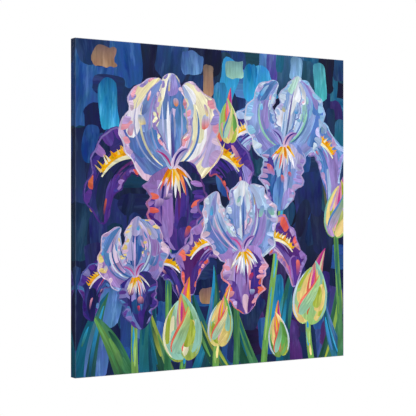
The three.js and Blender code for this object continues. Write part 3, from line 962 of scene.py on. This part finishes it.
class Finish:
    """A material, with short calls that add its nodes and join them."""

    def __init__(self, name, **constants):
        self.material = bpy.data.materials.new(name)
        self.material.use_nodes = True
        self.nodes = self.material.node_tree.nodes
        self.links = self.material.node_tree.links
        self.shader = self.nodes["Principled BSDF"]
        self.use(**constants)

    def feed(self, node, inputs):
        for key, value in inputs.items():
            if isinstance(value, bpy.types.NodeSocket):
                self.links.new(value, node.inputs[key])
            else:
                node.inputs[key].default_value = value

    def add(self, kind, inputs=None, output=0, **settings):
        node = self.nodes.new("ShaderNode" + kind)
        for key, value in settings.items():
            setattr(node, key, value)
        self.feed(node, inputs or {})
        return node.outputs[output]

    def object_place(self):
        return self.add("TexCoord", output="Object")

    def math(self, operation, *values):
        return self.add("Math", dict(enumerate(values)), operation=operation)

    def on_plane(self, vector):
        """The first two parts of a vector."""
        return [self.add("SeparateXYZ", {"Vector": vector}, part) for part in "XY"]

    def scaled(self, vector, scale, place=(0, 0, 0)):
        return self.add("Mapping", {"Vector": vector, "Scale": scale, "Location": place})

    def noise(self, vector, scale=1.0, detail=2.0, roughness=0.5, output=0):
        inputs = {"Vector": vector, "Scale": scale, "Detail": detail, "Roughness": roughness}
        return self.add("TexNoise", inputs, output)

    def astray(self, vector, scale, most):
        """Places that wander from the vector's by up to most along each axis, so that lines bend."""
        stray = self.noise(vector, scale, output="Color")
        stray = self.add("VectorMath", {0: stray, 1: most}, operation="MULTIPLY")
        return self.add("VectorMath", {0: vector, 1: stray}, operation="ADD")

    def spread(self, value, low, high, to_low, to_high):
        """Maps a value's range from low..high to to_low..to_high, and holds it at the ends."""
        numbers = {"Value": value, "From Min": low, "From Max": high, "To Min": to_low, "To Max": to_high}
        return self.add("MapRange", numbers)

    def swing(self, noise, low, high):
        """Maps a noise's usual range to low..high."""
        return self.spread(noise, 0.3, 0.7, low, high)

    def mix(self, share, one, other):
        """Mixes colours, which are the node's inputs 6 and 7 and its output 2."""
        return self.add("Mix", {"Factor": share, 6: one, 7: other}, output=2, data_type="RGBA")

    def tinted(self, colour, value, saturation=1.0, hue=0.5):
        inputs = {"Hue": hue, "Saturation": saturation, "Value": value, "Color": colour}
        return self.add("HueSaturation", inputs)

    def mottled(self, colour, noise, low, high):
        """The colour, as bright as the noise says from low to high."""
        return self.tinted(colour, self.swing(noise, low, high))

    def bump(self, height, distance, strength, normal=None):
        inputs = {"Height": height, "Distance": distance, "Strength": strength}
        if normal:
            inputs["Normal"] = normal
        return self.add("Bump", inputs)

    def use(self, **sockets):
        self.feed(self.shader, {key.replace("_", " "): value for key, value in sockets.items()})
        return self.material


def rgb(code):
    return (*linear(channels(code)).tolist(), 1)


def plain_weave(finish):
    """The sheet's own flat places, and over them the height of a plain weave, thread over thread."""
    flat = finish.add("UVMap", uv_map="weave")
    threads = finish.astray(flat, 260.0, (THREAD_STRAY, THREAD_STRAY, 0))
    count = finish.scaled(threads, (1 / THREAD, 1 / THREAD, 1), (0, 0, 0.5))
    heights = []
    for part in finish.on_plane(count):
        wave = finish.math("SINE", finish.math("MULTIPLY", part, math.pi))
        heights.append(finish.math("ABSOLUTE", wave))
    crossing = finish.math("MULTIPLY", *heights)
    warp_on_top, weft_on_top = (
        finish.math("MULTIPLY_ADD", crossing, THREAD_DIP, finish.math("MULTIPLY", height, 1 - THREAD_DIP))
        for height in heights
    )
    over = finish.add("TexChecker", {"Vector": count, "Scale": 1.0}, output="Fac")
    return flat, finish.add("Mix", {"Factor": over, 2: warp_on_top, 3: weft_on_top}, data_type="FLOAT")


def bend_wear_and_highlight(finish, flat, threads):
    """Pale thread crowns along the bend from the face to the sides: worn paint and a painted highlight."""
    aside, up = (finish.math("ABSOLUTE", part) for part in finish.on_plane(flat))
    past = finish.math("SUBTRACT", finish.math("MAXIMUM", aside, up), picture_half)
    near = finish.spread(finish.math("ABSOLUTE", past), WORN_AND_LIT_BAND / 3, WORN_AND_LIT_BAND, WORN_AND_LIT_SHARE, 0)
    crowns = finish.spread(threads, 0.2, 0.8, 0.5, 1)
    patches = finish.spread(finish.noise(flat, scale=60.0), 0.35, 0.65, 0.5, 1)
    return finish.math("MULTIPLY", finish.math("MULTIPLY", near, crowns), patches)


# The second coat's deeper and lighter layer: scale and place of its streaks, its value, saturation and hue.
LAYERS = (((8, 34, 1), (4, 7, 0), 0.7, 1.06, 0.512), ((9, 42, 1), (0, 0, 0), 1.4, 0.92, 0.49))


def second_coat(finish, colour, bristles, fine):
    """Streaky layers over the first paint, one deeper and one lighter, that break off along the bristles."""
    ragged = finish.swing(fine, -0.05, 0.05)
    for scale, place, *tint in LAYERS:
        streaks = finish.noise(finish.scaled(bristles, scale, place), detail=4, roughness=0.6)
        share = finish.spread(finish.math("ADD", streaks, ragged), 0.55, 0.61, 0, 0.75)
        colour = finish.mix(share, colour, finish.tinted(colour, *tint))
    return colour


def painted_cloth():
    """Paint with bristle marks along each patch, thin enough to show the weave, with painted shade between
    its threads.
    """
    finish = Finish("painted_cloth", Specular_IOR_Level=0.06)
    flat, threads = plain_weave(finish)
    first_coat = finish.add("Attribute", attribute_name="paint", attribute_type="GEOMETRY")
    bristles = finish.add("UVMap", uv_map="bristles")
    fine = finish.noise(finish.scaled(bristles, (22, 620, 1)), detail=3)
    broad = finish.noise(finish.scaled(bristles, (16, 150, 1)))
    loaded = finish.noise(finish.scaled(bristles, (30, 55, 1)))
    # painted shade and highlight: the paint is darker between the threads and lighter on their crowns
    value = finish.spread(threads, 0, 1, 0.95, 1.05)
    for marks, low, high in ((fine, -0.11, 0.11), (broad, -0.17, 0.13), (loaded, -0.14, 0.1)):
        value = finish.math("ADD", value, finish.swing(marks, low, high))
    tone = second_coat(finish, first_coat, bristles, fine)
    tone = finish.tinted(tone, value, saturation=1.02, hue=finish.swing(loaded, 0.488, 0.512))
    # a pale line along the bend: worn paint and painted highlight
    tone = finish.mix(bend_wear_and_highlight(finish, flat, threads), tone, rgb("a9b8dc"))
    ridges = finish.bump(fine, 0.00012, 0.5)
    normal = finish.bump(threads, 0.00016, 0.55, ridges)
    return finish.use(Base_Color=tone, Roughness=finish.swing(broad, 0.5, 0.66), Normal=normal)


def bare_cloth(name, ground, shade, fleck, roughness):
    """Cloth that carries no paint, with painted shade between its threads, and slubs and flecks."""
    finish = Finish(name)
    flat, threads = plain_weave(finish)
    # painted shade: the cloth is darker between its threads, in the weave's hollows
    tone = finish.mix(finish.spread(threads, 0.1, 0.9, 0.55, 0), rgb(ground), rgb(shade))
    tone = finish.mottled(tone, finish.noise(flat, scale=24.0, detail=4), 0.96, 1.03)
    for slub in ((520, 16, 1), (16, 520, 1)):
        tone = finish.mottled(tone, finish.noise(finish.scaled(flat, slub)), 0.96, 1.04)
    flecks = finish.spread(finish.noise(flat, scale=300.0, detail=1), 0.7, 0.76, 0, 0.6)
    tone = finish.mix(flecks, tone, rgb(fleck))
    return finish.use(Base_Color=tone, Roughness=roughness, Normal=finish.bump(threads, 0.0003, 0.8))


def planed_wood(name, along, tones, rings, pith):
    """Sawn and planed wood: year rings round a pith that runs along an axis, fibres, and a few knots."""
    early, late, knot = (rgb(tone) for tone in tones)
    finish = Finish(name)
    grain = [axis == along for axis in "XYZ"]
    stretch = [GRAIN_STRETCH if lengthwise else 1.0 for lengthwise in grain]
    around = finish.object_place()
    from_pith = finish.scaled(around, stretch, [-p * s for p, s in zip(pith, stretch)])
    curved = finish.astray(from_pith, 26.0, (RING_DRIFT, RING_DRIFT, RING_DRIFT))
    waves = {"Vector": curved, "Scale": rings, "Distortion": 0.8, "Detail": 1.0}
    kind = {"wave_type": "RINGS", "rings_direction": along, "wave_profile": "SAW"}
    late_wood = finish.spread(finish.add("TexWave", waves, output="Fac", **kind), 0.35, 1.0, 0, 0.9)
    fibre_scale = [FIBRES[0] if lengthwise else FIBRES[1] for lengthwise in grain]
    fibres = finish.noise(finish.scaled(around, fibre_scale), detail=3)
    spots = finish.add("TexVoronoi", {"Vector": finish.scaled(around, (5, 5, 5), pith), "Scale": 1.0})
    tone = finish.mix(late_wood, early, late)
    tone = finish.mottled(tone, fibres, 0.88, 1.08)
    tone = finish.mottled(tone, finish.noise(from_pith, scale=30.0), 0.92, 1.05)
    tone = finish.mix(finish.spread(spots, 0.018, 0.045, 0.9, 0), tone, knot)
    normal = finish.bump(fibres, 0.0001, 0.5, finish.bump(late_wood, 0.0002, 0.4))
    return finish.use(Base_Color=tone, Roughness=finish.swing(fibres, 0.62, 0.8), Normal=normal)


def drawn_metal(name, colour, roughness, streak):
    """Plated steel with drawing marks along X, and duller patches."""
    finish = Finish(name, Metallic=1.0)
    around = finish.object_place()
    marks = finish.noise(finish.scaled(around, streak), detail=3)
    dull = finish.noise(around, scale=160.0, detail=3)
    tone = finish.mottled(rgb(colour), dull, 0.86, 1.06)
    gloss = finish.swing(dull, roughness + 0.14, roughness - 0.06)
    return finish.use(Base_Color=tone, Roughness=gloss, Normal=finish.bump(marks, 0.00005, 0.5))


def moulded_rubber():
    finish = Finish("pale_rubber", IOR=1.5)
    around = finish.object_place()
    skin_marks = finish.noise(around, scale=900.0, detail=3)
    tone = finish.mottled(rgb("d9d8d2"), finish.noise(around, scale=180.0), 0.93, 1.03)
    gloss = finish.swing(skin_marks, 0.36, 0.52)
    return finish.use(Base_Color=tone, Roughness=gloss, Normal=finish.bump(skin_marks, 0.00004, 0.4))


# ---- putting it together ----

# For each bar, its grain's axis and how far its tree's pith lay from the middle of the bar.
PITHS = (
    ("top", "X", (0, 0.031, 0.004)), ("right", "Z", (-0.007, 0.036, 0)),
    ("bottom", "X", (0, 0.027, -0.009)), ("left", "Z", (0.011, 0.042, 0)),
)
KEY_PITH = (0.03, 0.02, 0.04)
PINE = ("e2cba6", "c09a69", "6e4426")
BEECH = ("d3a876", "b98350", "8a5a33")
PINE_RINGS, BEECH_RINGS = 72.0, 200.0  # how closely the year rings lie


def give(node_name, material):
    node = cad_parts[node_name]
    node.data.materials.clear()
    node.data.materials.append(material)


def stand_for_canvas(piece):
    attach(piece, "root")
    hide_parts("canvas")


def finish_canvas():
    paint_picture()
    sheet = stretched_canvas()
    raw = bare_cloth("raw_cotton", "ddd5c1", "bcb094", "8f7d5c", 0.9)
    primed = bare_cloth("primed_cloth", "eceae3", "cfcbc0", "cfcbc0", 0.75)
    for material in (painted_cloth(), primed, raw, raw):
        sheet.data.materials.append(material)
    stand_for_canvas(sheet)
    for quarters, corner in enumerate(("top_right", "bottom_right", "bottom_left", "top_left")):
        fold = corner_fold(corner, quarters)
        fold.data.materials.append(primed)
        stand_for_canvas(fold)


def finish_woodwork():
    for side, along, pith_off in PITHS:
        low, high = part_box(f"stretcher_bar_{side}")
        pith = (low + high) / 2 + Vector(pith_off)
        give(f"stretcher_bar_{side}", planed_wood(f"pine_{side}", along, PINE, PINE_RINGS, pith))
    for lie, along in (("upright", "Z"), ("level", "X")):
        wedge = planed_wood(f"beech_{lie}", along, BEECH, BEECH_RINGS, KEY_PITH)
        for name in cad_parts:
            if name.startswith("corner_key") and name.endswith(lie):
                give(name, wedge)


def finish_fittings():
    wire = drawn_metal("galvanised_wire", "a2a6aa", 0.42, (300, 2600, 2600))
    plated = drawn_metal("nickelled_steel", "8e8d8a", 0.36, (200, 2400, 2400))
    rubber = moulded_rubber()
    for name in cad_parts:
        if name.startswith("staple"):
            give(name, wire)
        elif "hanger" in name:
            give(name, plated)
        elif name.startswith("wall_pad"):
            give(name, rubber)


# ---- floor, light and camera ----

FLOOR_DROP = 0.62
FLOOR_RADIUS = 2.6
FLOOR_GLOW = 0.7  # light that the floor gives off at its rim
SKY_LIGHT = 0.40

# For each lamp, its place from the middle of the picture and its power in watts.
LAMPS = {"key": ((1.6, -2.6, 1.0), 72), "back_fill": ((0.3, 2.8, 1.0), 54)}
LAMP_SIZE = 1.6

CAMERA_TURN = math.radians(32)
CAMERA_ASIDE = 1.2135  # to the left of the picture's middle
CAMERA_BEFORE = 1.9016  # before its face
LENS_MM = 101.4
SENSOR_MM = 36


def floor_paint():
    """Pale paint that glows towards the floor's rim, where the floor runs into the white of the room."""
    finish = Finish("floor_paint", Emission_Color=(1, 1, 1, 1), Roughness=0.8)
    around = finish.object_place()
    out = finish.add("VectorMath", {0: around, 1: (1, 1, 0)}, operation="MULTIPLY")
    away = finish.add("VectorMath", {0: out}, output="Value", operation="LENGTH")
    glow = finish.spread(away, 0.3 * FLOOR_RADIUS, 0.9 * FLOOR_RADIUS, 0, FLOOR_GLOW)
    tone = finish.mottled(rgb("f4f3f1"), finish.noise(around, scale=3.0), 0.99, 1.01)
    return finish.use(Base_Color=tone, Emission_Strength=glow)


def lay_floor():
    bm = bmesh.new()
    bmesh.ops.create_circle(bm, cap_ends=True, segments=96, radius=FLOOR_RADIUS)
    bmesh.ops.translate(bm, vec=centre - Vector((0, 0, half_face + FLOOR_DROP)), verts=bm.verts)
    mesh = bpy.data.meshes.new("floor")
    bm.to_mesh(mesh)
    bm.free()
    mesh.materials.append(floor_paint())
    floor = put_in_scene("floor", mesh)
    floor.visible_diffuse = False
    floor.visible_glossy = False


def light_room():
    """An even white room, seen as white, and as a softer light on what stands in it."""
    world = bpy.data.worlds.new("white_room")
    bpy.context.scene.world = world
    world.use_nodes = True
    nodes, links = world.node_tree.nodes, world.node_tree.links
    seen = nodes.new("ShaderNodeLightPath")
    strength = nodes.new("ShaderNodeMapRange")
    strength.inputs["To Min"].default_value = SKY_LIGHT
    links.new(seen.outputs["Is Camera Ray"], strength.inputs["Value"])
    links.new(strength.outputs[0], nodes["Background"].inputs["Strength"])
    nodes["Background"].inputs["Color"].default_value = (1, 1, 1, 1)


def hang_lamps():
    for name, (place, power) in LAMPS.items():
        data = bpy.data.lights.new(name, "AREA")
        data.size = LAMP_SIZE
        data.energy = power
        lamp = put_in_scene(name, data)
        lamp.location = centre + Vector(place)
        lamp.rotation_euler = (-Vector(place)).to_track_quat("-Z", "Y").to_euler()
        lamp.visible_camera = False


def place_camera():
    """Level with the middle of the picture, and round to its left."""
    look = Vector((math.sin(CAMERA_TURN), math.cos(CAMERA_TURN), 0))
    data = bpy.data.cameras.new("camera")
    data.sensor_width = SENSOR_MM
    data.lens = LENS_MM
    camera = put_in_scene("camera", data)
    camera.location = centre + Vector((-CAMERA_ASIDE, face_y - CAMERA_BEFORE, 0))
    camera.rotation_euler = look.to_track_quat("-Z", "Y").to_euler()
    bpy.context.scene.camera = camera


place_camera()
finish_canvas()
finish_woodwork()
finish_fittings()
lay_floor()
light_room()
hang_lamps()
bpy.context.scene.view_settings.view_transform = "Standard"
